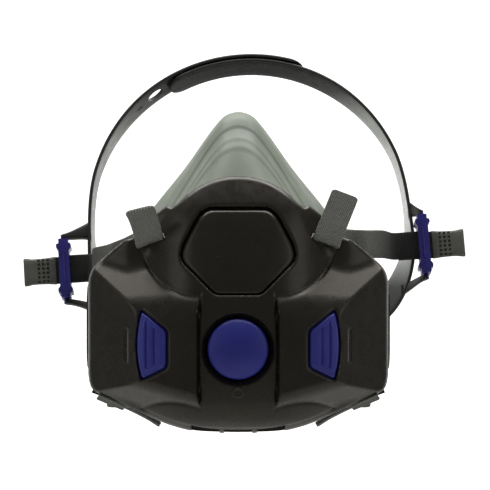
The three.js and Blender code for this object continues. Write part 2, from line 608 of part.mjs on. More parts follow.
function buildUpperStrap(side) {
  const name = (what) => `${side < 0 ? 'left' : 'right'}_${what}`;
  const wide = [alongSlot[0] * side, 0, alongSlot[2]];
  const facing = [alongSlot[0] * side, 0.34, alongSlot[2]];
  const tab = TAB_STOPS[side < 0 ? 'left' : 'right'].map((at) => ({ at, wide: facing }));
  add(name('upper_strap_tab'), ribbon(tab, STRAP_WIDTH, STRAP_THICK, 8), 'webbing');

  const x = side < 0 ? BUCKLE.left : BUCKLE.right;
  const front = BUCKLE.y - STRAP_LAYER;
  const rolled = toWorld(0, 0, 1).sub(toWorld(0, 0, 0)).toArray();
  const inBuckle = (d) => ({ at: toWorld(x + side * d, front, 0).toArray(), wide: rolled });
  const end = toWorld(x, front, 0).z;
  // Behind the shell the strap settles onto the straight line that it follows out to the buckle.
  const along = (across, y, settled = 1, wideDirection = UP) => {
    const line = 8.4 + (end - 8.4) * (0.3 + (across - 45) * 0.02);
    return { at: [side * across, y, 9.8 + (line - 9.8) * settled], wide: wideDirection };
  };
  const run = [
    { at: [side * 37.8, -44.2, 9.6], wide },
    along(42.8, -34, 0, [side * 0.4, 0, 0.9]),
    along(45.2, -22, 0.2),
    along(45.6, -15, 0.4),
    along(46.2, -11, 0.55),
    along(49.4, -8.2, 0.8),
    along(57, -5.4),
    along(65, 3.4),
  ];
  const threaded = [inBuckle(-13), inBuckle(-6), inBuckle(1)];
  if (side > 0) {
    add(name('upper_strap'), ribbon([...run, ...threaded], STRAP_WIDTH, STRAP_THICK, 26), 'webbing');
    return;
  }
  // The left band turns with the crown adjustment, so its end of the strap is a length of its own.
  const meeting = along(66.6, 9);
  const beyond = along(66.8, 10.6);
  add(name('upper_strap'), ribbon([...run, meeting], STRAP_WIDTH, STRAP_THICK, 18), 'webbing');
  add(name('upper_strap_rear'), ribbon([beyond, ...threaded], STRAP_WIDTH, STRAP_THICK, 10), 'webbing');
}

for (const side of [-1, 1]) buildUpperStrap(side);

// ---------------------------------------------------------------- neck straps
const UNDER = [0.92, 0, 0.39]; // slope of the shell's underside, outwards

function buildNeckStrap(side) {
  const name = (what) => `${side < 0 ? 'left' : 'right'}_${what}`;
  const half = new THREE.Group();
  half.scale.x = side;
  model.add(half);
  const freeEnd = [[34, -70.4], [39.6, -67], [46.5, -64.5], [53.5, -61.6], [60.4, -58.6]]
    .map(([x, z]) => ({ at: [x, -38, z], wide: [0, 1, 0] }));
  const through = [[-44, -60.7], [-33, -60.5], [-24, -57.6], [-12.4, -57.3]]
    .map(([y, z]) => ({ at: [55.4, y, z], wide: UNDER }));
  add(name('lower_strap_tab'), join(ribbon(freeEnd, STRAP_WIDTH, STRAP_THICK, 6),
    ribbon(through, STRAP_WIDTH, STRAP_THICK, 6)), 'webbing', half);

  const run = [
    { at: [55.4, -10.4, -57.3], wide: UNDER },
    { at: [57, 4, -58.4], wide: [0.8, 0, 0.6] },
    { at: [61, 24, -60.4], wide: [0.2, 0, 1] },
    { at: [59, 48, -62.4], wide: UP },
    { at: [45, 71, -64], wide: UP },
    { at: [24, 84, -64.5], wide: UP },
    { at: [9.6, 87.4, -64.5], wide: UP },
  ];
  add(name('neck_strap'), ribbon(run, STRAP_WIDTH, STRAP_THICK, 18), 'webbing', half);
}

for (const side of [-1, 1]) buildNeckStrap(side);

// The hook on the left strap slides sideways into the eye on the right strap.
add('neck_eye', cut(box(1.4, 8.6, 84.6, 90.4, -72, -57), box(-5, 6.6, 86.2, 88.8, -69.6, -59.4)), 'blue');
add('neck_hook', join(box(-8.6, -1.2, 84.6, 90.4, -72, -57), box(-1.4, 5.8, 86.6, 88.4, -69, -60)), 'blue');

export default model;
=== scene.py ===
"""A reusable half-mask respirator with a head harness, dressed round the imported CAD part.

Shapes are written in millimetres in the part's own frame: the front faces -Y, +Z is up and the origin
is the centre of the face opening. mesh_object() turns them into metres.
"""
import math

import bmesh
import bpy
import numpy as np
from mathutils import Matrix, Vector


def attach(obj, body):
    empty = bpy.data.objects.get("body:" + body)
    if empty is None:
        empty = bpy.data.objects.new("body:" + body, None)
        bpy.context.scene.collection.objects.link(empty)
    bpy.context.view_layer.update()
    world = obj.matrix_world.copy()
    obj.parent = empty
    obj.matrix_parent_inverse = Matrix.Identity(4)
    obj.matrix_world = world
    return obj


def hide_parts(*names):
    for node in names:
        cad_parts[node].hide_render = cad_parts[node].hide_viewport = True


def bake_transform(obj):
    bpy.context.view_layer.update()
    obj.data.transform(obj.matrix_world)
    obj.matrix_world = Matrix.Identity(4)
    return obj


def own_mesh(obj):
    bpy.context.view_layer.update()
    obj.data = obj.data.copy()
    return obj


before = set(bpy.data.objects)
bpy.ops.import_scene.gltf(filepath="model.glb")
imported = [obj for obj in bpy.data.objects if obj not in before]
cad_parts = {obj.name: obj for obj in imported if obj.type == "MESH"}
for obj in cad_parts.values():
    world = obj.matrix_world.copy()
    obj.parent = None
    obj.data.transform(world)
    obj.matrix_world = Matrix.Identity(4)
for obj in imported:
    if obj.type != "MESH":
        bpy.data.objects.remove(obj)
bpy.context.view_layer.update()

SIDES = (("left", -1), ("right", 1))

# ---------------------------------------------------------------- materials


def linear(rgb):
    """A colour given as 0-255 display values, as the renderer's linear RGBA."""
    parts = [v / 255 for v in rgb]
    return tuple(v / 12.92 if v <= 0.04045 else ((v + 0.055) / 1.055) ** 2.4 for v in parts) + (1.0,)


class Paint:
    """A procedural material under construction. place is the object's own coordinates, in metres."""

    def __init__(self, name, roughness, **sockets):
        self.material = bpy.data.materials.new(name)
        self.material.use_nodes = True
        self.tree = self.material.node_tree
        self.shader = self.tree.nodes["Principled BSDF"]
        self.shader.inputs["Roughness"].default_value = roughness
        for socket, value in sockets.items():
            self.shader.inputs[socket.replace("_", " ")].default_value = value
        self.where = self.node("TexCoord")
        self.place = self.where.outputs["Object"]

    def node(self, kind, inputs=None, **settings):
        made = self.tree.nodes.new("ShaderNode" + kind)
        for key, value in settings.items():
            setattr(made, key, value)
        for key, value in (inputs or {}).items():
            if isinstance(value, bpy.types.NodeSocket):
                self.tree.links.new(value, made.inputs[key])
            else:
                made.inputs[key].default_value = value
        return made

    def math(self, operation, a, b=0.0):
        return self.node("Math", {0: a, 1: b}, operation=operation).outputs[0]

    def noise(self, size_mm, detail=2.0):
        """Cloudy noise whose blotches are about size_mm across."""
        return self.node("TexNoise", {"Vector": self.place, "Scale": 1000 / size_mm,
                                      "Detail": detail}).outputs["Fac"]

    def ramp(self, value, stops):
        made = self.node("ValToRGB", {"Fac": value})
        band = made.color_ramp
        while len(band.elements) < len(stops):
            band.elements.new(0.5)
        for element, (position, rgb) in zip(band.elements, stops):
            element.position = position
            element.color = linear(rgb)
        return made.outputs["Color"]

    def between(self, value, low, high, out_low=0.0, out_high=1.0):
        return self.node("MapRange", {"Value": value, "From Min": low, "From Max": high,
                                      "To Min": out_low, "To Max": out_high}).outputs["Result"]

    def blend(self, share, a, b):
        made = self.node("Mix", {"Factor": share}, data_type="RGBA")
        for index, value in ((6, a), (7, b)):
            if isinstance(value, bpy.types.NodeSocket):
                self.tree.links.new(value, made.inputs[index])
            else:
                made.inputs[index].default_value = value
        return made.outputs[2]

    def colour(self, value):
        self.tree.links.new(value, self.shader.inputs["Base Color"])

    def roughness(self, value):
        self.tree.links.new(value, self.shader.inputs["Roughness"])

    def bump(self, height, depth_mm):
        made = self.node("Bump", {"Height": height, "Distance": depth_mm / 1000, "Strength": 1.0})
        self.tree.links.new(made.outputs["Normal"], self.shader.inputs["Normal"])


def moulded(name, dark, light, roughness, spread=0.08, grain_mm=0.35, grain_depth=0.012, **sockets):
    """Moulded plastic or rubber: faint clouds of colour and gloss, and a fine spark-eroded grain."""
    paint = Paint(name, roughness, **sockets)
    clouds = paint.noise(16, 3.0)
    paint.colour(paint.ramp(clouds, [(0.3, dark), (0.7, light)]))
    fine = paint.noise(grain_mm, 2.0)
    patches = paint.noise(5, 4.0)
    paint.roughness(paint.between(patches, 0.3, 0.7, roughness - spread, roughness + spread))
    paint.bump(fine, grain_depth)
    return paint.material


RIB_PITCH = 1.25
PICK_PITCH = 1.1


def woven(name, dark, light, fade=None):
    """Elastic webbing. U runs across the strap and V along it, both in millimetres.

    fade is (near, far, colour): painted shade, the strap darkens to that colour from near to far to either
    side.
    """
    paint = Paint(name, 0.85)
    uv = paint.node("SeparateXYZ", {"Vector": paint.where.outputs["UV"]})
    across, along = uv.outputs["X"], uv.outputs["Y"]
    ribs = paint.math("SINE", paint.math("MULTIPLY", across, 2 * math.pi / RIB_PITCH))
    picks = paint.math("SINE", paint.math("MULTIPLY", along, 2 * math.pi / PICK_PITCH))
    weave = paint.between(paint.math("MULTIPLY", ribs, picks), -1, 1)
    fuzz = paint.noise(0.7, 3.0)
    height = paint.math("ADD", weave, fuzz)
    tone = paint.ramp(paint.between(height, 0.35, 1.45), [(0, dark), (1, light)])
    # painted shade: the strap darkens with distance from the middle, for the shadow it runs into towards the
    # buckles
    if fade:
        near, far, shade = fade
        position = paint.node("SeparateXYZ", {"Vector": paint.place}).outputs["X"]
        share = paint.between(paint.math("ABSOLUTE", position), near / 1000, far / 1000)
        tone = paint.blend(share, tone, linear(shade))
    paint.colour(tone)
    paint.roughness(paint.between(fuzz, 0.3, 0.7, 0.75, 0.95))
    paint.bump(height, 0.16)
    return paint.material


def band_plastic_painted_reflection():
    """The bands' smoky plastic, nearly black over the crown and pale down the sides, where a painted
    reflection of the bright backdrop stands in for the real one.
    """
    paint = Paint("band_plastic_painted_reflection", 0.5, Specular_IOR_Level=0.1)
    spot = paint.node("SeparateXYZ", {"Vector": paint.place})
    height = paint.between(spot.outputs["Z"], -0.04, 0.1)
    # the pale stretches of both ramps are a painted reflection of the bright backdrop, brighter on the right
    # band
    left = paint.ramp(height, [(0.0, (60, 60, 58)), (0.2, (110, 112, 108)), (0.36, (172, 175, 170)),
                               (0.48, (138, 141, 137)), (0.7, (168, 170, 165)), (0.86, (62, 62, 59)),
                               (0.93, (12, 12, 11))])
    right = paint.ramp(height, [(0.0, (60, 60, 58)), (0.2, (100, 101, 98)), (0.34, (236, 238, 235)),
                                (0.48, (254, 255, 254)), (0.64, (238, 240, 236)), (0.76, (205, 207, 202)),
                                (0.86, (74, 74, 71)), (0.93, (12, 12, 11))])
    tone = paint.blend(paint.between(spot.outputs["X"], -0.01, 0.02), left, right)
    streaks = paint.noise(7, 3.0)
    paint.colour(paint.blend(paint.between(streaks, 0.35, 0.65, 0.0, 0.16), tone, linear((90, 92, 88))))
    paint.roughness(paint.between(streaks, 0.3, 0.7, 0.24, 0.36))
    paint.bump(paint.noise(6, 1.0), 0.01)
    return paint.material


def spring_steel():
    paint = Paint("spring_steel", 0.3, Metallic=1.0)
    drawn = paint.noise(0.25, 3.0)
    paint.colour(paint.ramp(drawn, [(0.3, (150, 152, 154)), (0.7, (190, 191, 190))]))
    paint.roughness(paint.between(drawn, 0.3, 0.7, 0.22, 0.4))
    return paint.material


SHELL = moulded("shell_plastic", (20, 17, 12), (27, 24, 18), 0.29, 0.05, 0.8, 0.002,
                 Specular_IOR_Level=0.42, Specular_Tint=(1.0, 0.93, 0.82, 1.0))
SILICONE = moulded("silicone", (114, 122, 107), (126, 134, 119), 0.5, 0.06, 0.5, 0.01)
BLUE = moulded("blue_plastic", (34, 38, 126), (40, 44, 138), 0.42, 0.05, Specular_IOR_Level=0.36)
# the release buttons are the same blue plastic as the seal-check button, painted lighter for the light that
# falls on them
RELEASE_BLUE_PAINTED_LIT = moulded("release_blue_painted_lit", (42, 45, 130), (48, 51, 142), 0.45, 0.05, Specular_IOR_Level=0.4)
NAVY = moulded("navy_plastic", (34, 30, 112), (42, 38, 126), 0.3, 0.06)
FRAME = moulded("frame_plastic", (42, 43, 42), (52, 53, 51), 0.55)
RUBBER = moulded("rubber", (30, 30, 29), (38, 38, 36), 0.75, 0.08, 0.3, 0.02)
GRIP = moulded("grip_rubber", (84, 84, 76), (98, 98, 90), 0.7, 0.08, 0.3, 0.03)
FILM = moulded("diaphragm_film", (178, 182, 174), (192, 196, 188), 0.3, 0.05)
BAND_EDGE = moulded("band_edge", (30, 30, 28), (42, 42, 39), 0.45, 0.05, 2, 0.002)
# the cradle bands' plastic, with a painted reflection of the backdrop down their sides
BAND = band_plastic_painted_reflection()
TAB_WEBBING = woven("tab_webbing", (72, 73, 68), (150, 151, 144))
# the upper straps' run, with painted shade darkening it to near-black beyond 58 mm to either side
RUN_WEBBING_PAINTED_SHADE = woven("run_webbing_painted_shade", (68, 69, 64), (140, 141, 134), fade=(58, 70, (24, 24, 22)))
NECK_WEBBING = woven("neck_webbing", (56, 57, 53), (84, 85, 79))
STEEL = spring_steel()

# ---------------------------------------------------------------- meshes


def mesh_object(name, points, faces, material, body=None, nodes=(), uv=None, crease=32):
    """A mesh piece from millimetre points; edges sharper than crease degrees stay crisp."""
    mesh = bpy.data.meshes.new(name)
    mesh.from_pydata((np.asarray(points, dtype=float) / 1000).tolist(), [], faces)
    if uv is not None:
        layer = mesh.uv_layers.new(name="UVMap")
        corners = np.empty(len(mesh.loops), dtype=np.int64)
        mesh.loops.foreach_get("vertex_index", corners)
        layer.data.foreach_set("uv", np.asarray(uv, dtype=float)[corners].ravel())
    mesh.validate()
    made = bpy.data.objects.new(name, mesh)
    bpy.context.scene.collection.objects.link(made)
    dress(made, material, crease)
    if body:
        place(made, body, nodes)
    return made


def dress(made, material, crease=32):
    made.data.materials.clear()
    made.data.materials.append(material)
    smooth(made, crease)


def smooth(made, crease):
    made.data.shade_smooth()
    made.data.set_sharp_from_angle(angle=math.radians(crease))


def even_shading(made):
    """Lets the large faces set the shading, so that the slivers of a boolean don't show."""
    modifier = made.modifiers.new("even", "WEIGHTED_NORMAL")
    modifier.mode = "FACE_AREA"
    modifier.keep_sharp = True


def place(made, body, nodes=()):
    """Makes a finished piece ride on a body and stand for CAD nodes."""
    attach(made, body)
    finish_piece(nodes)


def finish_piece(nodes):
    if nodes:
        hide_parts(*nodes)


def joined(name, parts):
    """Several meshes as one object that keeps each one's materials. The first one is kept."""
    for other in bpy.context.selected_objects:
        other.select_set(False)
    for part in parts:
        part.select_set(True)
    bpy.context.view_layer.objects.active = parts[0]
    bpy.ops.object.join()
    parts[0].name = name
    parts[0].select_set(False)
    return parts[0]


def carve(target, *cuts):
    """Applies booleans in turn; each cut is (operation, cutter), and the cutters are used up."""
    for operation, cutter in cuts:
        modifier = target.modifiers.new("cut", "BOOLEAN")
        modifier.operation = operation
        modifier.object = cutter
        modifier.solver = "MANIFOLD"
    bpy.context.view_layer.update()
    depsgraph = bpy.context.evaluated_depsgraph_get()
    result = bpy.data.meshes.new_from_object(target.evaluated_get(depsgraph))
    target.modifiers.clear()
    target.data = result
    for _, cutter in cuts:
        bpy.data.objects.remove(cutter)
    return target


def bevelled(made, width, segments=2):
    """Rounds the sharp edges, after merging flat neighbours into single faces."""
    work = bmesh.new()
    work.from_mesh(made.data)
    bmesh.ops.remove_doubles(work, verts=work.verts, dist=1e-6)
    bmesh.ops.dissolve_limit(work, angle_limit=math.radians(2), verts=work.verts, edges=work.edges)
    sharp = [e for e in work.edges if e.is_manifold and e.calc_face_angle() > math.radians(28)]
    bmesh.ops.bevel(work, geom=sharp, offset=width / 1000, segments=segments, profile=0.5,
                    affect="EDGES", clamp_overlap=True)
    work.to_mesh(made.data)
    work.free()
    smooth(made, 40)
    return made


def refined(node, material, body, width, segments=2):
    """A bevelled copy of a CAD node, which it stands for."""
    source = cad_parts[node]
    made = bpy.data.objects.new(node + "_form", source.data.copy())
    bpy.context.scene.collection.objects.link(made)
    dress(made, material)
    bevelled(made, width, segments)
    place(made, body, (node,))
    return made


def prism(outline, low, high, name="cutter"):
    """A closed solid from an (x, z) outline, pushed through along Y."""
    count = len(outline)
    points = [(x, y, z) for y in (low, high) for x, z in outline]
    faces = [(i, (i + 1) % count, count + (i + 1) % count, count + i) for i in range(count)]
    faces += [tuple(range(count))[::-1], tuple(range(count, 2 * count))]
    made = mesh_object(name, points, faces, FRAME)
    outward(made)
    return made


def outward(made):
    """Turns every face of a closed mesh outwards."""
    work = bmesh.new()
    work.from_mesh(made.data)
    bmesh.ops.recalc_face_normals(work, faces=work.faces)
    work.to_mesh(made.data)
    work.free()


def block(low, high, turn=None):
    """A closed box between two corners, turned by a matrix when one is given."""
    corners = [Vector((x, y, z))
               for x in (low[0], high[0]) for y in (low[1], high[1]) for z in (low[2], high[2])]
    if turn:
        corners = [turn @ c for c in corners]
    faces = [(0, 1, 3, 2), (4, 6, 7, 5), (0, 4, 5, 1), (2, 3, 7, 6), (0, 2, 6, 4), (1, 5, 7, 3)]
    made = mesh_object("cutter", [tuple(c) for c in corners], faces, FRAME)
    outward(made)
    return made


def turned(name, profile, x, z):
    """A solid of revolution about the Y axis through (x, z), from (radius, y) pairs, capped at both ends."""
    angles = np.linspace(0, 2 * math.pi, 96, endpoint=False)
    rings = [[(x + r * math.cos(a), y, z + r * math.sin(a)) for a in angles] for r, y in profile]
    return lofted(name, rings, FRAME)


def lofted(name, rows, material, closed=False, uv=None, crease=32):
    """Skins rows of points that each close on themselves; the ends are capped unless the rows close."""
    rows = np.asarray(rows, dtype=float)
    count, around = rows.shape[:2]
    faces = []
    for r in range(count if closed else count - 1):
        here, after = r * around, ((r + 1) % count) * around
        faces += [(here + i, here + (i + 1) % around, after + (i + 1) % around, after + i)
                  for i in range(around)]
    if not closed:
        faces += [tuple(range(around))[::-1], tuple(range((count - 1) * around, count * around))]
    made = mesh_object(name, rows.reshape(-1, 3), faces, material, uv=uv, crease=crease)
    outward(made)
    return made


# ---------------------------------------------------------------- curves and outlines


def smoothstep(value, low, high):
    t = np.clip((np.asarray(value, dtype=float) - low) / (high - low), 0, 1)
    return t * t * (3 - 2 * t)


def through(points, count):
    """count points on a centripetal curve through the given ones, evenly spread between the stops."""
    points = np.asarray(points, dtype=float)
    first, last = 2 * points[0] - points[1], 2 * points[-1] - points[-2]
    padded = np.vstack([first, points, last])
    result = []
    for t in np.linspace(0, len(points) - 1, count):
        i = min(int(t), len(points) - 2)
        p = padded[i:i + 4]
        chords = [p[k + 1] - p[k] for k in range(3)]
        gaps = [max(np.linalg.norm(chord) ** 0.5, 1e-4) for chord in chords]
        paces = [chord / gap for chord, gap in zip(chords, gaps)]
        start = (paces[0] - (p[2] - p[0]) / (gaps[0] + gaps[1]) + paces[1]) * gaps[1]
        end = (paces[1] - (p[3] - p[1]) / (gaps[1] + gaps[2]) + paces[2]) * gaps[1]
        u = t - i
        result.append(p[1] * (2 * u ** 3 - 3 * u ** 2 + 1) + start * (u ** 3 - 2 * u ** 2 + u)
                      + p[2] * (3 * u ** 2 - 2 * u ** 3) + end * (u ** 3 - u ** 2))
    return np.array(result)


def closed_curve(points, count):
    """count points at even spacing on a smooth closed curve through the given ones."""
    points = [tuple(p) for p in points]
    lap = through(points[-2:] + points + points[:3], (len(points) + 4) * 24 + 1)[2 * 24:-2 * 24]
    lengths = np.concatenate([[0], np.cumsum(np.linalg.norm(np.diff(lap, axis=0), axis=1))])
    even = np.linspace(0, lengths[-1], count, endpoint=False)
    return np.column_stack([np.interp(even, lengths, lap[:, k]) for k in range(lap.shape[1])])


def mirrored(half):
    """A half outline, from the top round the +X side to the bottom, and its mirror image."""
    return list(half) + [(-x, z, *rest) for x, z, *rest in reversed(half[1:-1])]


def rounded(outline):
    """The outline of (x, z, reach) corners, each eased from `reach` before it to `reach` after it."""
    result = []
    for i, (x, z, reach) in enumerate(outline):
        here = np.array((x, z), dtype=float)
        ends = []
        for other in (outline[i - 1], outline[(i + 1) % len(outline)]):
            step = np.array(other[:2], dtype=float) - here
            ends.append(here + step * min(reach / np.linalg.norm(step), 0.48))
        for t in np.linspace(0, 1, 6):
            result.append(tuple(ends[0] * (1 - t) ** 2 + here * 2 * t * (1 - t) + ends[1] * t ** 2))
    return result


def inset(outline, distance):
    """The outline moved inwards by a distance, or outwards by a negative one."""
    ring = np.array([p[:2] for p in outline], dtype=float)
    before, after = np.roll(ring, 1, axis=0), np.roll(ring, -1, axis=0)
    area = np.sum(ring[:, 0] * after[:, 1] - after[:, 0] * ring[:, 1])
    a = (ring - before) / np.linalg.norm(ring - before, axis=1)[:, None]
    b = (after - ring) / np.linalg.norm(after - ring, axis=1)[:, None]
    normal = np.column_stack([-(a[:, 1] + b[:, 1]), a[:, 0] + b[:, 0]])
    normal /= np.linalg.norm(normal, axis=1)[:, None]
    lean = np.maximum(0.5, normal[:, 0] * -a[:, 1] + normal[:, 1] * a[:, 0])
    return [tuple(p) for p in ring + distance * math.copysign(1, area) * normal / lean[:, None]]


def inside_distance(outline, x, z):
    """How far each point lies inside a closed outline, negative outside."""
    nearest = np.full(np.shape(x), 1e9)
    within = np.zeros(np.shape(x), dtype=bool)
    for i in range(len(outline)):
        ax, az = outline[i][:2]
        bx, bz = outline[(i + 1) % len(outline)][:2]
        ex, ez = bx - ax, bz - az
        t = np.clip(((x - ax) * ex + (z - az) * ez) / max(ex * ex + ez * ez, 1e-12), 0, 1)
        nearest = np.minimum(nearest, np.hypot(x - ax - t * ex, z - az - t * ez))
        if ez:
            within ^= ((az > z) != (bz > z)) & (x < ex * (z - az) / ez + ax)
    return np.where(within, nearest, -nearest)


def rolled(distance, radius):
    """How far a surface drops where it rolls over an edge that is `distance` away."""
    near = np.clip(radius - distance, 0, radius)
    return radius - np.sqrt(np.maximum(radius ** 2 - near ** 2, 0))


# ---------------------------------------------------------------- the front relief
# The shell's outside is a height, its relief, in front of one plane across the part.
SKIN_PLANE = -52
# (z, relief) down the centre line
SPINE = np.array([[-78, 0], [-72.6, 8], [-66, 16.5], [-58, 21], [-36, 23], [-13, 20.5], [5, 16], [23, 9.5],
                  [37.6, 0], [44, -5]], dtype=float)


def spine(z):
    """Relief of the centre line at each height."""
    zs, hs = SPINE[:, 0], SPINE[:, 1]
    last = len(zs) - 1
    k = np.clip(np.searchsorted(zs, z, side="right"), 1, last)

    def slope(i):
        before, after = np.maximum(i - 1, 0), np.minimum(i + 1, last)
        return (hs[after] - hs[before]) / (zs[after] - zs[before])

    span = zs[k] - zs[k - 1]
    t = (z - zs[k - 1]) / span
    return (hs[k - 1] * (1 + 2 * t) * (1 - t) ** 2 + slope(k - 1) * span * t * (1 - t) ** 2
            + hs[k] * t * t * (3 - 2 * t) - slope(k) * span * t * t * (1 - t))


def smooth_min(a, b, width):
    h = np.maximum(width - np.abs(a - b), 0) / width
    return np.minimum(a, b) - h * h * width / 4


def wing_planes(x, z):
    """Relief of the wing without its inner bevel, and of the bevel. Each face is one plane."""
    front = 22.3 - 0.31 * (x - 18)
    top = 13.42 - 0.38 * x - 0.8556 * z
    bottom = 123.2 - 0.7264 * x + 1.5314 * z
    outer = 15 - 1.1 * (x - 42)
    face = smooth_min(smooth_min(front, top, 6), bottom, 5)
    return smooth_min(face, outer, 1), 22.3 + 2.2 * (x - 17.4)


def centre_relief(x, z):
    return spine(z) - 0.00137 * np.abs(x) ** 2.6


def relief(x, z):
    side = np.abs(x)
    face, bevel = wing_planes(side, z)
    wing = smooth_min(face, bevel, 1.2)
    valley = -2.4 - 0.35 * (side - 47 + np.hypot(side - 47, 3.5))
    return -smooth_min(smooth_min(-centre_relief(x, z), -wing, 0.8), -valley, 3.5)


BUTTON = {"z": -36, "radius": 12.8}
SHELL_OUTLINE = rounded(mirrored([
    (0, 37.6, 5), (7, 37, 4), (14, 34.8, 4), (20.7, 30.9, 4), (25.5, 26.2, 2), (28.6, 24, 1),
    (30.4, 25.2, 0.6), (35.8, 21, 1), (41.8, 14.2, 2), (45.6, 10.8, 1.2), (48.5, 10.4, 1.2),
    (55, 5.4, 3), (62.8, -1.4, 3), (65.2, -6.5, 3), (65.2, -50, 3), (63.6, -55, 3), (50, -61.2, 5),
    (31, -69, 6), (19, -72, 6), (0, -72.6, 6)]))
HEX = rounded(mirrored([
    (0, 23, 6), (12.3, 23, 3.2), (15.9, 20.6, 4), (23.6, 6.8, 4.2), (24, 1.4, 3), (9.5, -12.8, 2),
    (0, -12.8, 4)]))
HEX_OPENING = rounded(mirrored([
    (0, 24.4, 6), (12.8, 24.4, 3.6), (16.9, 21.6, 4), (24.5, 7.0, 4.4), (24.6, 1.1, 3.2),
    (9.7, -13.25, 2.2), (0, -13.25, 4)]))
RELEASE = [(30.6, -28.4, 1.6), (30.6, -43.6, 1.6), (40.6, -48.6, 1.2), (42.2, -42, 3), (42.7, -34.5, 3),
           (42.2, -27, 3), (40.8, -20.6, 1.2)]
RELEASE_OUTLINE = rounded(RELEASE)
RELEASE_GAP = 0.95
RELEASE_OPENING = rounded([(x, z, reach + 0.6)
                           for (x, z), (_, _, reach) in zip(inset(RELEASE, -RELEASE_GAP), RELEASE)])
SLOT = {"x": 37.8, "z": 9.6, "angle": -22, "length": 13.2}
WALL = 3.0


def shell_skin(x, z):
    """y of the shell's outside, with its rolled edges, grooves and small marks."""
    side = np.abs(x)
    height = relief(x, z)
    rim = inside_distance(SHELL_OUTLINE, x, z)
    height -= rolled(rim, 1.6)
    height -= 0.7 * rolled(-inside_distance(HEX_OPENING, x, z), 1.5)
    height -= 0.8 * rolled(-inside_distance(RELEASE_OPENING, side, z), 1.1)
    # the crease where each wing rises from the middle
    face, bevel = wing_planes(side, z)
    meeting = (centre_relief(x, z) - np.minimum(face, bevel)) / 2.2
    height -= 0.45 * np.exp(-(meeting / 0.42) ** 2) * (rim > 2)
    # a short groove on each outer facet
    length = smoothstep(z, -43, -41.5) * (1 - smoothstep(z, -28.5, -27))
    height -= np.exp(-((side - 47.7) / 0.5) ** 2) * length
    # a small ring under the button, and the lip along the chin
    ring = np.abs(np.hypot(x, z + 54) - 1.9)
    height += 0.28 * (1 - smoothstep(ring, 0.15, 0.55))
    chin = smoothstep(-z, 60, 64) * (1 - smoothstep(rim, 2.3, 2.8))
    height -= 0.55 * chin
    return SKIN_PLANE - height


def relief_block(name, skin, back, xs, zs):
    """A closed block whose front is skin(x, z) over a grid and whose back is flat."""
    gx, gz = np.meshgrid(xs, zs, indexing="ij")
    top = np.stack([gx, skin(gx, gz), gz], axis=-1).reshape(-1, 3)
    nx, nz = len(xs), len(zs)
    index = np.arange(nx * nz).reshape(nx, nz)
    a, b = index[:-1, :-1].ravel(), index[1:, :-1].ravel()
    c, d = index[1:, 1:].ravel(), index[:-1, 1:].ravel()
    faces = np.column_stack([a, b, c, d]).tolist()
    edge = np.concatenate([index[:, 0], index[-1, 1:], index[-2::-1, -1], index[0, -2:0:-1]])
    floor = top[edge].copy()
    floor[:, 1] = back
    base = nx * nz + np.arange(len(edge))
    for i in range(len(edge)):
        j = (i + 1) % len(edge)
        faces.append((int(edge[i]), int(base[i]), int(base[j]), int(edge[j])))
    faces.append(tuple(int(v) for v in base))
    made = mesh_object(name, np.vstack([top, floor]), faces, SHELL)
    outward(made)
    return made


def strap_slot(side):
    """The slot that an upper strap folds through, and the pocket in front of it."""
    turn = Matrix.Translation((side * SLOT["x"], 0, SLOT["z"])) @ Matrix.Rotation(
        math.radians(-SLOT["angle"] * side), 4, "Y")
    half = SLOT["length"] / 2
    slot = block((-half, -64, -1.1), (half, -40, 1.1), turn)
    lean = Matrix.Translation((0, -52.4, 0)) @ Matrix.Rotation(math.radians(19 * side), 4, "Z")
    pocket = block((-half - 0.3, -14, -2.2), (half + 0.3, 1.0, 7), turn @ lean)
    return slot, pocket


def build_shell():
    # the grid is finer round the small ring under the button
    fine_x = np.unique(np.round(np.concatenate([np.arange(-66.5, 66.6, 0.5), np.arange(-4, 4, 0.25)]), 3))
    fine_z = np.unique(np.round(np.concatenate([np.arange(-74, 39.1, 0.5), np.arange(-58, -50, 0.25)]), 3))
    shell = relief_block("front_shell_form", shell_skin, -20, fine_x, fine_z)
    hollow = relief_block("hollow", lambda x, z: SKIN_PLANE - relief(x, z) + WALL, -10,
                          np.arange(-70, 70.1, 2.5), np.arange(-78, 42.1, 2.5))
    carve(hollow, ("INTERSECT", prism(inset(SHELL_OUTLINE, 2.4), -95, -5)))
    cuts = [("INTERSECT", prism(SHELL_OUTLINE, -90, -15)), ("DIFFERENCE", hollow),
            ("DIFFERENCE", block((-46.5, -47.2, -90), (46.5, 0, 60)))]
    for side in (-1, 1):
        low, high = sorted((side * 46.4, side * 80))
        cuts.append(("DIFFERENCE", block((low, -33.8, -90), (high, 0, 60))))
    bore = turned("cutter", [(0.01, -95), (15.8, -95), (15.8, -50), (0.01, -50)], 0, BUTTON["z"])
    cuts += [("DIFFERENCE", bore), ("DIFFERENCE", prism(HEX_OPENING, -95, -50))]
    for side in (-1, 1):
        cuts.append(("DIFFERENCE", prism([(side * x, z) for x, z in RELEASE_OPENING], -95, -50)))
        low, high = sorted((side * 60, side * 70))
        cuts.append(("DIFFERENCE", block((low, -38.6, -37), (high, -30, -25))))
        cuts += [("DIFFERENCE", piece) for piece in strap_slot(side)]
    # three air outlets along the chin
    for x in (-20, -6, 8):
        cuts.append(("DIFFERENCE", block((x, -62, -76), (x + 12, -52, -67))))
    carve(shell, *cuts)
    dress(shell, SHELL, 30)
    even_shading(shell)
    place(shell, "facepiece", ("front_shell",))


build_shell()


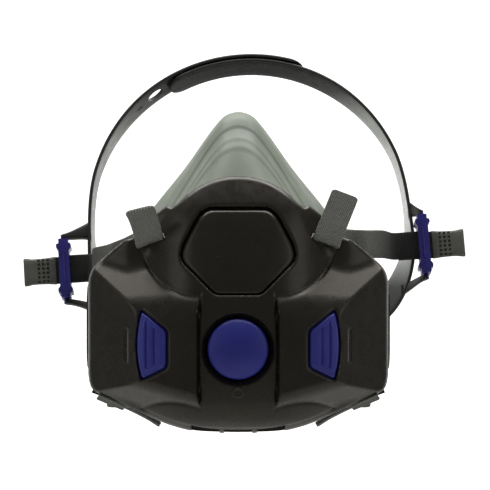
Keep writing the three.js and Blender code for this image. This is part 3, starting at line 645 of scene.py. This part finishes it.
def build_cover():
    def skin(x, z):
        edge = inside_distance(HEX, x, z)
        return SKIN_PLANE - relief(x, z) + 0.3 + 0.8 * rolled(edge, 1.6)

    cover = relief_block("diaphragm_cover_form", skin, -54,
                         np.arange(-25, 25.1, 0.5), np.arange(-14, 24.1, 0.5))
    back = relief_block("back", lambda x, z: SKIN_PLANE - relief(x, z) + 2.7, -50,
                        np.arange(-30, 30.1, 1.5), np.arange(-20, 30.1, 1.5))
    carve(cover, ("INTERSECT", prism(HEX, -90, -50)), ("DIFFERENCE", back))
    dress(cover, SHELL, 30)
    even_shading(cover)
    place(cover, "facepiece", ("diaphragm_cover",))


build_cover()


def build_bezel():
    """The dish round the button: it follows the shell at its rim and slopes in to the button's bore."""
    back, rim = -68.5, 15.65
    dish = [(13.3, 3.4), (13.5, 2.5), (14.1, 1.7), (14.9, 0.9), (15.35, 0.35), (rim, 0.25)]
    rows = []
    for angle in np.linspace(0, 2 * math.pi, 128, endpoint=False):
        at_rim = np.array(rim * math.cos(angle)), np.array(BUTTON["z"] + rim * math.sin(angle))
        front = SKIN_PLANE - float(relief(*at_rim))
        profile = [(dish[0][0], back)] + [(radius, front + sink) for radius, sink in dish] + [(rim, back)]
        rows.append([(radius * math.cos(angle), y, BUTTON["z"] + radius * math.sin(angle))
                     for radius, y in profile])
    bezel = lofted("button_bezel_form", rows, SHELL, closed=True)
    place(bezel, "facepiece", ("button_bezel",))


build_bezel()


def build_button():
    front, back = -78.2, -66
    profile = [(0.01, front)]
    for r in np.linspace(1, 11.8, 14):
        profile.append((r, front + 3.5 * (r / 11.8) ** 2.1))
    profile += [(12.4, front + 4.1), (12.7, front + 4.7), (BUTTON["radius"], front + 5.6),
                (BUTTON["radius"], back), (0.01, back)]
    button = turned("seal_check_button_form", profile, 0, BUTTON["z"])
    dress(button, BLUE, 40)
    place(button, "seal_check", ("seal_check_button",))


build_button()


def build_release(name, side):
    """A ribbed button, made on the +X side and flipped for the other. Its flange closes the gap round it."""
    def skin(x, z):
        edge = inside_distance(RELEASE_OUTLINE, x, z)
        bow = 0.05 * ((z + 34.5) / 6) ** 2
        ribs = np.zeros_like(x)
        for centre, low, high in ((39.0, -44.6, -24), (35.6, -43.0, -26.5)):
            along = smoothstep(z, low, low + 0.8) * (1 - smoothstep(z, high - 0.8, high))
            ribs = np.maximum(ribs, along * np.exp(-((x - centre + bow) / 0.5) ** 2))
        pad = smoothstep(edge, 1.3, 2.2)
        return SKIN_PLANE - relief(x, z) - 0.2 - 0.35 * pad + 0.9 * rolled(edge, 1.0) + 0.75 * ribs

    button = relief_block(name + "_release_button_form", skin, -54,
                          np.arange(29.5, 44, 0.3), np.arange(-50, -19.5, 0.3))
    back = relief_block("back", lambda x, z: SKIN_PLANE - relief(x, z) + 6.3, -50,
                        np.arange(28, 46, 1.5), np.arange(-52, -17, 1.5))
    flange = relief_block("flange", lambda x, z: SKIN_PLANE - relief(x, z) + 3.5, -54,
                          np.arange(27, 46, 1), np.arange(-52, -16.5, 1))
    carve(flange, ("INTERSECT", prism(inset(RELEASE, -1.8), -90, -50)))
    carve(button, ("INTERSECT", prism(RELEASE_OUTLINE, -90, -50)), ("UNION", flange), ("DIFFERENCE", back))
    if side < 0:
        flip(button)
    dress(button, RELEASE_BLUE_PAINTED_LIT, 30)
    even_shading(button)
    place(button, name + "_release", (name + "_release_button",))


def flip(made):
    """Mirrors a mesh to the other side of the part."""
    made.data.transform(Matrix.Scale(-1, 4, (1, 0, 0)))
    outward(made)


for name, side in SIDES:
    build_release(name, side)

# ---------------------------------------------------------------- face seal
# (y, half outline) of the seal's outside, from the core frame to the face
SEAL_SECTIONS = [
    (-46.8, [(0, 35), (7, 34.4), (13, 31.5), (24, 21), (33, 6), (40.5, -14), (40.5, -40), (30, -56),
             (14, -63.5), (0, -64)]),
    (-30, [(0, 55.4), (5.4, 53.9), (10, 49.8), (21, 34), (33, 13), (43, -12), (43, -40), (32, -58),
           (15, -66), (0, -67)]),
    (-11, [(0, 66.2), (5.6, 64.6), (10, 60.2), (23, 41.5), (37, 20), (45, -9), (45, -38), (35, -59),
           (16, -67), (0, -68.5)]),
    (3, [(0, 67.2), (5.8, 65.6), (10.8, 60.6), (24, 42.5), (41, 21.5), (56, -2), (57, -34), (40, -58),
         (18, -67.5), (0, -69)]),
    (9, [(0, 64.4), (5.6, 62.8), (10.4, 58.4), (23, 40.5), (40, 19), (55, -4), (56, -33), (39, -56),
         (17, -65.5), (0, -67)]),
]
# (y, half outline) of the turned-in lip's edge
SEAL_LIP = (6, [(0, 50), (9, 44), (19, 28), (31, 10), (41, -12), (41, -34), (29, -48), (13, -55),
                (0, -56.5)])
SEAL_STEPS = [(-35, 0.45), (-31, 0.4), (-24, 0.5)]  # (y, height) of the moulded steps round the nose


def build_seal():
    around = 200
    sections = [(y, closed_curve(mirrored(half), around)) for y, half in SEAL_SECTIONS]
    lip = closed_curve(mirrored(SEAL_LIP[1]), around)
    stack = np.array([[(x, y, z) for x, z in ring] for y, ring in sections])
    outer = np.array([through(stack[:, i], 97) for i in range(around)])
    inner = outer[:, ::-1][:, 18:].copy()

    def sideways(points):
        """Outward direction of each ring in its own plane."""
        step = np.roll(points, -1, axis=0) - np.roll(points, 1, axis=0)
        out = np.stack([step[..., 2], np.zeros(step.shape[:-1]), -step[..., 0]], axis=-1)
        out /= np.linalg.norm(out, axis=-1, keepdims=True)
        facing = np.sign(np.sum(out * (points - points.mean(axis=0)), axis=(0, 2)))
        return out * facing[None, :, None]

    rise = sum(h * smoothstep(outer[..., 1], y - 0.25, y + 0.25) for y, h in SEAL_STEPS) - 0.8
    fade = smoothstep(outer[..., 2], -20, 25) * (1 - smoothstep(outer[..., 1], -18, -8))
    outer_out = sideways(outer)
    inner -= 2.2 * sideways(inner)
    outer = outer + outer_out * (rise * fade)[..., None]
    shelf, tuck = [], []
    for rim, (x, z) in zip(outer[:, -1], lip):
        crest = rim * 0.75 + np.array([x, 7.4, z]) * 0.25
        shelf.append(through([rim, crest, (x, SEAL_LIP[0], z)], 14)[1:])
        tuck.append([(x, SEAL_LIP[0] - 1.6, z)])
    inner[..., 1] -= 1.5 * smoothstep(inner[..., 1], -11, 3)
    rows = np.concatenate([outer, shelf, tuck, inner], axis=1)
    rows[..., 1] -= 6 * smoothstep(rows[..., 2], 20, 66) * smoothstep(rows[..., 1], -30, -11)
    seal = lofted("face_seal_form", rows, SILICONE, closed=True, crease=50)
    place(seal, "facepiece", ("face_seal",))


build_seal()

# ---------------------------------------------------------------- straps
STRAP_WIDTH = 12.7
STRAP_THICK = 1.5


def strap_section(width, thickness):
    """A flat section with rounded edges, as (across, through) pairs."""
    radius = min(thickness, width) / 2
    flat = width / 2 - radius
    right = [(flat + radius * math.cos(a), radius * math.sin(a))
             for a in np.linspace(-math.pi / 2, math.pi / 2, 7)]
    left = [(-u, -v) for u, v in right]
    middle = [(flat * s, thickness / 2) for s in (0.5, 0, -0.5)]
    under = [(flat * s, -thickness / 2) for s in (-0.5, 0, 0.5)]
    return right + middle + left + under


def ribbon(name, stops, width, thickness, steps, material, ends=(0, 0)):
    """A strap along (position, width direction) stops. ends are the corner radii at its two ends."""
    path = through([at for at, _ in stops], steps + 1)
    wides = np.array([Vector(w).normalized() for _, w in stops])
    tangent = np.gradient(path, axis=0)
    tangent /= np.linalg.norm(tangent, axis=1)[:, None]
    shares = np.linspace(0, len(stops) - 1, steps + 1)
    wide = np.column_stack([np.interp(shares, range(len(stops)), wides[:, k]) for k in range(3)])
    wide -= tangent * np.sum(wide * tangent, axis=1)[:, None]
    wide /= np.linalg.norm(wide, axis=1)[:, None]
    thick = np.cross(wide, tangent)
    run = np.concatenate([[0], np.cumsum(np.linalg.norm(np.diff(path, axis=0), axis=1))])
    rows, uv = [], []
    for i in range(steps + 1):
        half = width / 2
        for end, distance in ((ends[0], run[i]), (ends[1], run[-1] - run[i])):
            if end and distance < end:
                half = min(half, width / 2 - end + math.sqrt(end ** 2 - (end - distance) ** 2))
        section = strap_section(max(2 * half, thickness), thickness)
        rows.append([path[i] + wide[i] * u + thick[i] * v for u, v in section])
        uv += [(u, run[i]) for u, _ in section]
    return lofted(name, rows, material, uv=uv, crease=60)


ALONG_SLOT = (math.cos(math.radians(SLOT["angle"])), 0, math.sin(math.radians(SLOT["angle"])))
TAB_STOPS = {
    "left": [(-37.8, -47.6, 9.2), (-38, -52.4, 9.6), (-39.4, -55.4, 15.5), (-41, -59, 20.5),
             (-42, -63.5, 23)],
    "right": [(37.8, -47.6, 9.2), (38, -52.4, 9.6), (40.6, -55.4, 16.4), (43.4, -56.4, 23.4),
              (46, -57, 30)],
}
CRADLE = Matrix.Translation((7.5, 35, 0)) @ Matrix.Rotation(math.radians(-12), 4, "X") @ Matrix.Rotation(
    math.radians(-4), 4, "Y")
BUCKLE = {"left": -87.6, "right": 78, "y": -12.6, "width": 5, "depth": 9.4, "height": 27.4}
STRAP_LAYER = 1.2
ROLLED = tuple((CRADLE.to_3x3() @ Vector((0, 0, 1))))
UP = (0, 0, 1)


def build_upper_strap(name, side):
    facing = (ALONG_SLOT[0] * side, 0.34, ALONG_SLOT[2])
    tab = ribbon(name + "_upper_strap_tab_form", [(at, facing) for at in TAB_STOPS[name]],
                 STRAP_WIDTH, STRAP_THICK, 60, TAB_WEBBING, ends=(0, 1.4))
    place(tab, "facepiece", (name + "_upper_strap_tab",))

    x = BUCKLE[name]
    front = BUCKLE["y"] - STRAP_LAYER
    end = (CRADLE @ Vector((x, front, 0))).z

    def in_buckle(across):
        return tuple(CRADLE @ Vector((x + side * across, front, 0))), ROLLED

    def along(across, y, settled=1.0, wide=UP):
        """A stop beside the shell. settled runs from the slot's height to the line to the buckle."""
        line = 8.4 + (end - 8.4) * (0.3 + (across - 45) * 0.02)
        return (side * across, y, 9.8 + (line - 9.8) * settled), wide

    run = [
        ((side * 37.8, -44.2, 9.6), (ALONG_SLOT[0] * side, 0, ALONG_SLOT[2])),
        along(42.8, -34, 0, (side * 0.4, 0, 0.9)), along(45.2, -22, 0.2), along(45.6, -15, 0.4),
        along(46.2, -11, 0.55), along(49.4, -8.2, 0.8), along(57, -5.4), along(65, 3.4),
        in_buckle(-13), in_buckle(-6), in_buckle(1),
    ]
    strap = ribbon(name + "_upper_strap_form", run, STRAP_WIDTH, STRAP_THICK, 140, RUN_WEBBING_PAINTED_SHADE)
    if side > 0:
        place(strap, "cradle", (name + "_upper_strap",))
        return
    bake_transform(strap)
    finish_piece(("left_upper_strap", "left_upper_strap_rear"))


for name, side in SIDES:
    build_upper_strap(name, side)

UNDER = (0.92, 0, 0.39)


def mirror_stops(stops, side):
    return [((side * p[0], p[1], p[2]), (side * w[0], w[1], w[2])) for p, w in stops]


def build_neck_strap(name, side):
    free = [((x, -38, z), (0, 1, 0)) for x, z in
            ((34, -70.4), (39.6, -66.9), (46.5, -63.4), (53.5, -60.2), (60.4, -57.2))]
    ribbon_free = ribbon("free", mirror_stops(free, side), STRAP_WIDTH, STRAP_THICK, 40,
                         TAB_WEBBING, ends=(1.4, 0))
    thread = [((55.4, y, z), UNDER) for y, z in ((-44, -60.7), (-33, -60.5), (-24, -57.6), (-12.4, -57.3))]
    ribbon_through = ribbon("through", mirror_stops(thread, side), STRAP_WIDTH, STRAP_THICK, 40,
                            TAB_WEBBING)
    tab = joined(name + "_lower_strap_tab_form", [ribbon_free, ribbon_through])
    place(tab, "facepiece", (name + "_lower_strap_tab",))
    run = [
        ((55.4, -10.4, -57.3), UNDER), ((57, 4, -58.4), (0.8, 0, 0.6)), ((61, 24, -60.4), (0.2, 0, 1)),
        ((59, 48, -62.4), UP), ((45, 71, -64), UP), ((24, 84, -64.5), UP), ((9.6, 87.4, -64.5), UP),
    ]
    strap = ribbon(name + "_neck_strap_form", mirror_stops(run, side), STRAP_WIDTH, STRAP_THICK, 120,
                   NECK_WEBBING)
    place(strap, "neck_loop", (name + "_neck_strap",))


for name, side in SIDES:
    build_neck_strap(name, side)

# ---------------------------------------------------------------- head cradle
RING = {"radius": 73, "centre": 21.5, "nape_radius": 61, "nape_depth": 44}
CROWN_END = {"left": 23, "right": 28}
CROWN_SLOPE = 8
BAND_WIDTH = 15
BAND_THICK = 1.6
BAND_RIM = 0.95  # the dark edge's width
CROWN_LIFT = (BAND_THICK + 0.35) * 1.18
PEG_ANGLE = -12


def ring_stop(angle, side, lift):
    """Where a band's middle is at an angle from the crown (0) past the side (90) to the nape (180)."""
    a = math.radians(angle)
    low = float(smoothstep(angle, 96, 158))
    high = 1 - float(smoothstep(abs(angle), 30, 75))
    drop = 10 * float(smoothstep(angle, 70, 100)) * (1 - float(smoothstep(angle, 110, 158)))
    radius = RING["radius"] - (RING["radius"] - RING["nape_radius"]) * low + lift * (1 + 0.35 * low)
    twist = max(low, 0.72 * float(smoothstep(angle, 84, 118)))
    slope = math.radians(4 + CROWN_SLOPE * high + 46 * twist)
    x, z = math.sin(a) * side, math.cos(a)
    at = (radius * x, RING["nape_depth"] * low, RING["centre"] - drop + radius * z)
    return at, (-math.sin(slope) * x, math.cos(slope), -math.sin(slope) * z)


def to_world(made):
    made.data.transform(Matrix.Scale(0.001, 4) @ CRADLE @ Matrix.Scale(1000, 4))


def build_band(name, side, lift):
    first, last = -CROWN_END[name], 194
    stops = [ring_stop(first + (last - first) * i / 110, side, lift) for i in range(111)]
    band = ribbon("band", stops, BAND_WIDTH, BAND_THICK, 330, BAND, ends=(7.2, 7.2))
    band.data.materials.append(BAND_EDGE)
    layer = band.data.uv_layers[0].data
    for face in band.data.polygons:
        if min(abs(layer[i].uv[0]) for i in face.loop_indices) > BAND_WIDTH / 2 - BAND_RIM:
            face.material_index = 1
    return band


def on_crown(angle, lift):
    """A frame on the crown at an angle from the top: Y runs out of the band and Z along its width."""
    return (Matrix.Translation((0, 0, RING["centre"])) @ Matrix.Rotation(math.radians(angle), 4, "Y")
            @ Matrix.Translation((0, 0, RING["radius"] + lift))
            @ Matrix.Rotation(math.pi / 2 - math.radians(4 + CROWN_SLOPE), 4, "X"))


def pin(name, radius_x, radius_z, low, high, turn, material=FRAME):
    """An oval pin along local Y."""
    angles = np.linspace(0, 2 * math.pi, 32, endpoint=False)
    rows = [[tuple(turn @ Vector((radius_x * math.cos(a), y, radius_z * math.sin(a)))) for a in angles]
            for y in (low, high)]
    return lofted(name, rows, material)


def pivot_arm(name, side, lift, end):
    """The arm that carries one end of a buckle's pivot, tapering and curving out from the band."""
    tip = BUCKLE["height"] / 2 + 1.6
    angle, low, high, y0, y1 = (85, 14.1, 24, -7, -1) if end > 0 else (110, 14.1, 20, 2, 8)
    band_x = ring_stop(angle, side, lift)[0][0]
    root = np.array([band_x, (y0 + y1) / 2, end * (low + high) / 2])
    end_point = np.array([BUCKLE[name] + side * 0.4, BUCKLE["y"], end * tip])
    rows = []
    for t in np.linspace(0, 1, 17):
        ease = t * t * (3 - 2 * t)
        x, y, z = root + (end_point - root) * np.array([t, ease, ease])
        deep = (y1 - y0) / 2 + (2.3 - (y1 - y0) / 2) * ease
        tall = (high - low) / 2 + (1.15 - (high - low) / 2) * t ** 0.6
        rows.append([(x, y + deep * math.copysign(abs(math.cos(a)) ** 0.5, math.cos(a)),
                      z + tall * math.copysign(abs(math.sin(a)) ** 0.5, math.sin(a)))
                     for a in np.linspace(0, 2 * math.pi, 20, endpoint=False)])
    return lofted("arm", rows, BAND_EDGE, crease=50)


for name, side in SIDES:
    lift = CROWN_LIFT if side < 0 else 0
    band = build_band(name, side, lift)
    body = "left_cradle" if side < 0 else "cradle"
    if side < 0:
        slot = block((-7.75, -1.6, -2.2), (7.75, 6.4, 2.2), on_crown(PEG_ANGLE, 0))
        hole = pin("cutter", 4.4, 3.3, -4, 4, on_crown(-33.5, CROWN_LIFT))
        dimple = pin("cutter", 1.6, 1.3, -2, -0.4, on_crown(-41, CROWN_LIFT))
        carve(band, ("DIFFERENCE", slot), ("DIFFERENCE", hole), ("DIFFERENCE", dimple))
        extras = []
    else:
        extras = [pin("peg", 1.8, 1.8, -0.5, 4.5, on_crown(PEG_ANGLE, 0), BAND_EDGE)]
    parts = [band] + extras + [pivot_arm(name, side, lift, end) for end in (1, -1)]
    band = joined("cradle_band_" + name + "_form", parts)
    to_world(band)
    smooth(band, 40)
    place(band, body, ("cradle_band_" + name,))


def build_buckle(name, side):
    x, y = BUCKLE[name], BUCKLE["y"]
    half = BUCKLE["height"] / 2
    widths = [(half, 2.2), (11.6, 2.2), (11.3, 3.3), (9.8, 3.4), (8.4, 2.4), (7.0, 2.45)]
    right = widths + [(-z, w) for z, w in reversed(widths)]
    outline = [(x + w, z) for z, w in right] + [(x - w, z) for z, w in reversed(right)]
    body = prism(outline, y - BUCKLE["depth"] / 2, y + BUCKLE["depth"] / 2, "buckle")
    slot = block((x - 10, y - 2.3, -6.9), (x + 10, y + 2.3, 6.9))
    carve(body, ("DIFFERENCE", slot))
    bevelled(body, 0.5)
    dress(body, NAVY, 40)
    upright = Matrix.Rotation(math.pi / 2, 4, "X")
    pivots = pin("pivots", 1.3, 1.3, -half - 2.5, half + 2.5, Matrix.Translation((x, y, 0)) @ upright, NAVY)
    rib_place = Matrix.Translation((x - side * 0.3, y - 4.65, 0)) @ upright
    rib = pin("rib", 0.5, 0.5, -6.8, 6.8, rib_place, NAVY)
    buckle = joined(name + "_buckle_form", [body, pivots, rib])
    to_world(buckle)
    place(buckle, "left_cradle" if side < 0 else "cradle", (name + "_buckle",))


def build_pull_tab(name, side):
    x, y = BUCKLE[name], BUCKLE["y"]
    back = y + STRAP_LAYER
    grip = x + side * 4.2
    tail = [((across, back, 0), UP) for across in (x - side * 12, x - side * 4, grip + side * 2)]
    strap = ribbon("strap", tail, STRAP_WIDTH, STRAP_THICK, 20, RUN_WEBBING_PAINTED_SHADE)
    # (distance from the buckle's end, half height, half thickness)
    sections = [(0, 6.6, 1.1), (1.2, 6.5, 1.4), (4, 6.2, 1.5), (8, 6.05, 1.5), (11, 6.1, 1.5),
                (13.2, 6.5, 1.75), (14.3, 6.6, 1.6), (14.8, 6.3, 1.1)]
    rows = []
    for distance, half, thick in sections:
        rows.append([(grip + side * distance, back + v, u) for u, v in strap_section(2 * half, 2 * thick)])
    tab = lofted("tab", rows, GRIP)
    dimples = []
    for column in range(3):
        for row in range(6):
            u = grip + side * (3.6 + 2.1 * column)
            v = -5 + 2 * row
            dimples.append(block((u - 0.6, back - 9, v - 0.6), (u + 0.6, back - 0.5, v + 0.6)))
    carve(tab, *[("DIFFERENCE", d) for d in dimples])
    dress(tab, GRIP, 35)
    tab = joined(name + "_pull_tab_form", [tab, strap])
    to_world(tab)
    place(tab, name + "_pull", (name + "_pull_tab",))


for name, side in SIDES:
    build_buckle(name, side)
    build_pull_tab(name, side)

# ---------------------------------------------------------------- parts kept from the CAD
for name, side in SIDES:
    refined(name + "_housing", SHELL, "facepiece", 0.8, 3)
    refined(name + "_port", FRAME, "facepiece", 0.4)
    refined(name + "_port_gasket", RUBBER, "facepiece", 0.4)
    refined(name + "_latch", FRAME, name + "_latch_lever", 0.3)
refined("neck_eye", NAVY, "neck_loop", 0.5)
refined("neck_hook", NAVY, "neck_loop", 0.4)
refined("core_frame", FRAME, "facepiece", 0.3)

HIDDEN_PAINT = {
    "diaphragm_housing": FRAME, "diaphragm_ring": FRAME, "diaphragm_film": FILM, "check_shutter": FRAME,
    "exhalation_seat": FRAME, "exhalation_hood": FRAME, "exhalation_flap": RUBBER,
}
for name, _ in SIDES:
    HIDDEN_PAINT.update({name + "_inhalation_seat": FRAME, name + "_inhalation_flap": RUBBER,
                         name + "_latch_pin": STEEL})
# each spring is a bevelled copy of its CAD node, with a mesh of its own
for what, keep in (("seal_check", 0.49), ("left_release", 0.79), ("right_release", 0.79)):
    spring = refined(what + "_spring", STEEL, "facepiece", 0.05)
    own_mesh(spring)
for node, material in HIDDEN_PAINT.items():
    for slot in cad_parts[node].material_slots:
        slot.material = material

# ---------------------------------------------------------------- floor, light and camera


def backdrop():
    """A pale floor that sweeps up into a pale wall, which glows well behind the object. In metres."""
    start, radius, top, level = 1.2, 0.8, 3.0, -0.5
    angles = np.linspace(0.1, math.pi / 2, 12)
    depth = [-3, start] + [start + radius * math.sin(a) for a in angles] + [start + radius]
    height = [0, 0] + [radius - radius * math.cos(a) for a in angles] + [top]
    points = [(x * 1000, y * 1000, (z + level) * 1000) for y, z in zip(depth, height) for x in (-3, 3)]
    faces = [(2 * i, 2 * i + 1, 2 * i + 3, 2 * i + 2) for i in range(len(depth) - 1)]
    paint = Paint("studio_white", 0.9)
    pale = paint.ramp(paint.noise(400), [(0.3, (252, 252, 251)), (0.7, (255, 255, 254))])
    paint.colour(paint.blend(0.45, pale, linear((150, 150, 148))))
    paint.tree.links.new(pale, paint.shader.inputs["Emission Color"])
    behind = paint.node("SeparateXYZ", {"Vector": paint.place}).outputs["Y"]
    paint.tree.links.new(paint.between(behind, 1.4, 1.7), paint.shader.inputs["Emission Strength"])
    floor = mesh_object("floor", points, faces, paint.material)


def softbox(name, location, target, size, power):
    light = bpy.data.lights.new(name, "AREA")
    light.shape = "RECTANGLE"
    light.size, light.size_y = size
    light.energy = power
    lamp = bpy.data.objects.new(name, light)
    lamp.location = location
    lamp.rotation_euler = (Vector(target) - Vector(location)).to_track_quat("-Z", "Y").to_euler()
    bpy.context.scene.collection.objects.link(lamp)


backdrop()
softbox("top_light", (0, 0.2, 0.9), (0, 0.06, 0), (1.4, 0.62), 15.5)
softbox("left_light", (-1.1, -0.5, 0.3), (0, 0, 0), (0.5, 0.9), 1.2)
softbox("right_light", (1.1, -0.5, 0.3), (0, 0, 0), (0.5, 0.9), 1.2)

world = bpy.data.worlds.new("studio")
world.use_nodes = True
world.node_tree.nodes["Background"].inputs["Color"].default_value = (1, 1, 1, 1)
world.node_tree.nodes["Background"].inputs["Strength"].default_value = 0.25
bpy.context.scene.world = world
bpy.context.scene.view_settings.view_transform = "Standard"

VIEW_CENTRE = (0.00294, 0.0079)
VIEW_DISTANCE = 1.075
VIEW_SPREAD = 0.2058  # width of the view for each metre of distance
camera_data = bpy.data.cameras.new("camera")
camera_data.sensor_width = 36
camera_data.lens = camera_data.sensor_width / VIEW_SPREAD
camera = bpy.data.objects.new("camera", camera_data)
camera.location = (VIEW_CENTRE[0], -VIEW_DISTANCE, VIEW_CENTRE[1])
camera.rotation_euler = (math.pi / 2, 0, 0)
bpy.context.scene.collection.objects.link(camera)
bpy.context.scene.camera = camera
